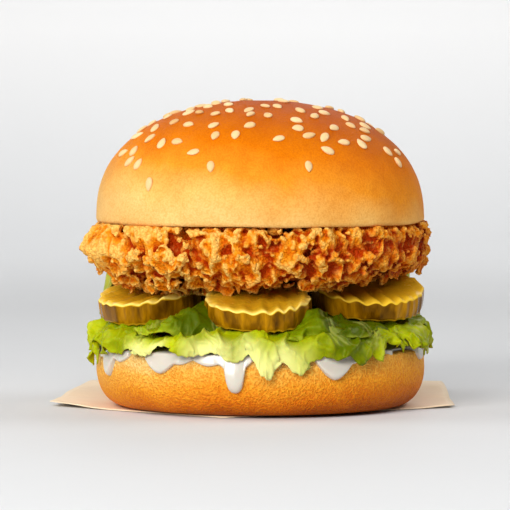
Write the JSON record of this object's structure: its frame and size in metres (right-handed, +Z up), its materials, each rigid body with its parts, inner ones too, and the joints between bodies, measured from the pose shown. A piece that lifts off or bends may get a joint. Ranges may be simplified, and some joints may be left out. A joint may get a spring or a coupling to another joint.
{
  "type": "chicken burger",
  "caption": "Domed seeded bun over a craggy fried chicken fillet, gherkin slices, ruffled lettuce and dripping white sauce, on a sheet of burger paper.",
  "frame": {"origin": "underside of the burger paper, on the burger's upright axis", "axes": "+Z up through the stack; -Y is the side shown to the camera; +X is that side's right"},
  "size_m": [0.1295, 0.1185, 0.0979],
  "materials": {
    "bread": "satin",
    "fried_crust": "satin",
    "lettuce": "satin",
    "gherkin": "gloss",
    "white_sauce": "gloss",
    "paper": "matte"
  },
  "bodies": {
    "root": {"burger_paper": "paper", "bun_heel": "bread", "white_sauce": "white_sauce", "lettuce_lower": "lettuce", "lettuce_upper": "lettuce", "pickle_left": "gherkin", "pickle_front": "gherkin", "pickle_right": "gherkin", "pickle_back_right": "gherkin", "pickle_back_left": "gherkin", "chicken_fillet": "fried_crust", "bun_crown": "bread"}
  },
  "joints": []
}
